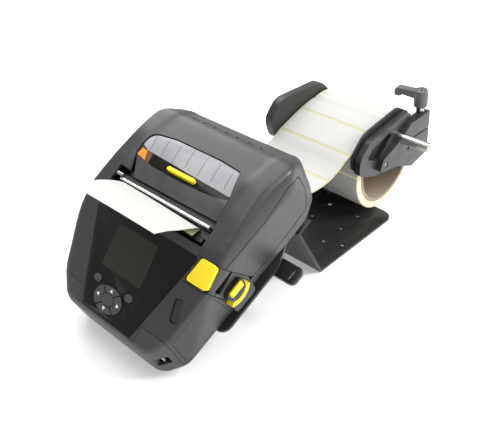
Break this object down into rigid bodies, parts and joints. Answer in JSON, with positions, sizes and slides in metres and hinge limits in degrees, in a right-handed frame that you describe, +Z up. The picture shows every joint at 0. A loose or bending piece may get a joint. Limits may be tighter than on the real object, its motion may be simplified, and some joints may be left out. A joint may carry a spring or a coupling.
{
  "type": "label maker",
  "caption": "Portable label printer held at a slope on a folded sheet stand, fed from an external roll holder with a clamping side guide.",
  "frame": {"origin": "middle of the whole assembly's footprint, on the table", "axes": "+X across the labels towards the free end of the roll shaft, +Y from the printer's front to the label roll, +Z up"},
  "size_m": [0.1678, 0.3858, 0.1487],
  "materials": {
    "case": "moulded dark grey plastic, fine texture",
    "overmould": "grey over-moulded bumper",
    "gloss_black": "glossy black",
    "keys": "dark grey keys",
    "yellow": "bright yellow",
    "smoke_window": "grey translucent window",
    "amber": "amber guides",
    "black_steel": "black powder coated sheet",
    "anodised": "dark anodised aluminium",
    "steel": "bright steel",
    "label": "white label stock",
    "card": "brown core board",
    "board": "green circuit board",
    "black_plastic": "black plastic",
    "lever_grey": "grey lever"
  },
  "bodies": {
    "stand_and_printer": {"lower_case": "case", "front_bezel": "case", "hinge_pin": "steel", "display_glass": "gloss_black", "lcd_module": "black_plastic", "keypad_board": "board", "strap_post": "steel", "latch_accent": "yellow", "printhead": "black_plastic", "head_heatsink": "anodised", "drive_motor": "steel", "main_board": "board", "guide_rail": "black_plastic", "issued_label": "label", "cradle_plate": "black_steel", "paddle_pin": "steel", "label_web": "label", "roll_shaft": "steel", "left_side_plate": "anodised", "upright_bracket": "black_steel", "shaft_nut": "steel", "foot_screw_1": "steel", "foot_screw_2": "steel", "stand_sheet": "black_steel", "front_foot": "black_plastic"},
    "cover": {"media_cover": "overmould", "cover_side_right": "case", "cover_side_left": "case", "cover_window": "smoke_window", "cover_front_panel": "gloss_black", "cover_grip_bar": "yellow", "tear_bar": "steel"},
    "platen": {"platen_roller": "black_plastic", "platen_gear": "black_plastic"},
    "idler": {"idler_gear": "black_plastic"},
    "pinion": {"motor_pinion": "black_plastic"},
    "latch": {"latch_button": "yellow"},
    "knob": {"latch_knob": "case", "latch_knob_bar": "yellow"},
    "port_door": {"port_cover": "case"},
    "battery": {"battery_pack": "black_plastic"},
    "paddle": {"release_paddle": "black_plastic"},
    "power_key": {"power_button": "keys"},
    "guide_left": {"media_guide_left": "amber"},
    "guide_right": {"media_guide_right": "amber"},
    "roll": {"roll_core": "card", "label_roll": "label"},
    "roller": {"support_roller": "black_plastic"},
    "roll_guide": {"guide_plate": "black_steel", "guide_body": "anodised", "guide_screw": "steel"},
    "clamp": {"clamp_lever": "lever_grey", "clamp_lever_screw": "steel"},
    "key_left_body": {"key_left": "keys"},
    "key_up_body": {"key_up": "keys"},
    "key_right_body": {"key_right": "keys"},
    "key_down_body": {"key_down": "keys"},
    "key_ok_body": {"key_ok": "keys"},
    "soft_key_left_body": {"soft_key_left": "keys"},
    "soft_key_right_body": {"soft_key_right": "keys"}
  },
  "joints": [
    {"name": "cover_open", "type": "hinge", "parent": "stand_and_printer", "child": "cover", "pos_m": [-0.00412, -0.01755, 0.11024], "axis": [-1, 0, 0], "range_deg": [0, 85]},
    {"name": "platen_spin", "type": "hinge", "parent": "cover", "child": "platen", "pos_m": [-0.00412, -0.11031, 0.11278], "axis": [1, 0, 0], "continuous": true},
    {"name": "idler_spin", "type": "hinge", "parent": "stand_and_printer", "child": "idler", "pos_m": [0.05488, -0.11584, 0.09365], "axis": [1, 0, 0], "continuous": true},
    {"name": "pinion_spin", "type": "hinge", "parent": "stand_and_printer", "child": "pinion", "pos_m": [0.05488, -0.12511, 0.07542], "axis": [1, 0, 0], "continuous": true},
    {"name": "latch_press", "type": "slide", "parent": "stand_and_printer", "child": "latch", "axis": [0, 0.788, -0.6157], "range_m": [0, 0.0025], "stiffness_N_per_m": 600},
    {"name": "knob_turn", "type": "hinge", "parent": "stand_and_printer", "child": "knob", "pos_m": [0.06788, -0.12111, 0.06967], "axis": [1, 0, 0], "range_deg": [0, 45]},
    {"name": "port_door_open", "type": "hinge", "parent": "stand_and_printer", "child": "port_door", "pos_m": [0.06368, -0.14298, 0.02902], "axis": [0, 0.9063, 0.4226], "range_deg": [0, 90]},
    {"name": "battery_slide", "type": "slide", "parent": "stand_and_printer", "child": "battery", "axis": [-1, 0, 0], "range_m": [0, 0.07]},
    {"name": "paddle_press", "type": "hinge", "parent": "stand_and_printer", "child": "paddle", "pos_m": [0.02588, -0.05712, 0.04721], "axis": [0, 0.9063, 0.4226], "range_deg": [0, 8], "stiffness_Nm_per_rad": 0.6},
    {"name": "power_press", "type": "slide", "parent": "stand_and_printer", "child": "power_key", "axis": [0, 0.788, -0.6157], "range_m": [0, 0.0008], "stiffness_N_per_m": 500},
    {"name": "guide_right_slide", "type": "slide", "parent": "stand_and_printer", "child": "guide_right", "axis": [1, 0, 0], "range_m": [0, 0.009]},
    {"name": "guide_left_slide", "type": "slide", "parent": "stand_and_printer", "child": "guide_left", "axis": [1, 0, 0], "range_m": [-0.009, 0]},
    {"name": "roll_spin", "type": "hinge", "parent": "stand_and_printer", "child": "roll", "pos_m": [-0.00412, 0.14034, 0.0577], "axis": [1, 0, 0], "continuous": true},
    {"name": "roller_spin", "type": "hinge", "parent": "stand_and_printer", "child": "roller", "pos_m": [-0.00412, 0.14034, 0.0892], "axis": [1, 0, 0], "continuous": true},
    {"name": "roll_guide_slide", "type": "slide", "parent": "stand_and_printer", "child": "roll_guide", "axis": [1, 0, 0], "range_m": [0, 0.022]},
    {"name": "clamp_turn", "type": "hinge", "parent": "roll_guide", "child": "clamp", "pos_m": [0.04788, 0.17744, 0.1036], "axis": [0, -0.1564, 0.9877], "range_deg": [-90, 45]},
    {"name": "key_left_press", "type": "slide", "parent": "stand_and_printer", "child": "key_left_body", "axis": [0, 0.788, -0.6157], "range_m": [0, 0.0008], "stiffness_N_per_m": 400},
    {"name": "key_up_press", "type": "slide", "parent": "stand_and_printer", "child": "key_up_body", "axis": [0, 0.788, -0.6157], "range_m": [0, 0.0008], "stiffness_N_per_m": 400},
    {"name": "key_right_press", "type": "slide", "parent": "stand_and_printer", "child": "key_right_body", "axis": [0, 0.788, -0.6157], "range_m": [0, 0.0008], "stiffness_N_per_m": 400},
    {"name": "key_down_press", "type": "slide", "parent": "stand_and_printer", "child": "key_down_body", "axis": [0, 0.788, -0.6157], "range_m": [0, 0.0008], "stiffness_N_per_m": 400},
    {"name": "key_ok_press", "type": "slide", "parent": "stand_and_printer", "child": "key_ok_body", "axis": [0, 0.788, -0.6157], "range_m": [0, 0.0008], "stiffness_N_per_m": 400},
    {"name": "soft_key_left_press", "type": "slide", "parent": "stand_and_printer", "child": "soft_key_left_body", "axis": [0, 0.788, -0.6157], "range_m": [0, 0.0008], "stiffness_N_per_m": 400},
    {"name": "soft_key_right_press", "type": "slide", "parent": "stand_and_printer", "child": "soft_key_right_body", "axis": [0, 0.788, -0.6157], "range_m": [0, 0.0008], "stiffness_N_per_m": 400}
  ],
  "couplings": [
    {"joint": "idler_spin", "follows": "platen_spin", "ratio": -0.88889},
    {"joint": "pinion_spin", "follows": "platen_spin", "ratio": 0.94118},
    {"joint": "guide_left_slide", "follows": "guide_right_slide", "ratio": -1},
    {"joint": "roller_spin", "follows": "roll_spin", "ratio": 4.1919}
  ]
}
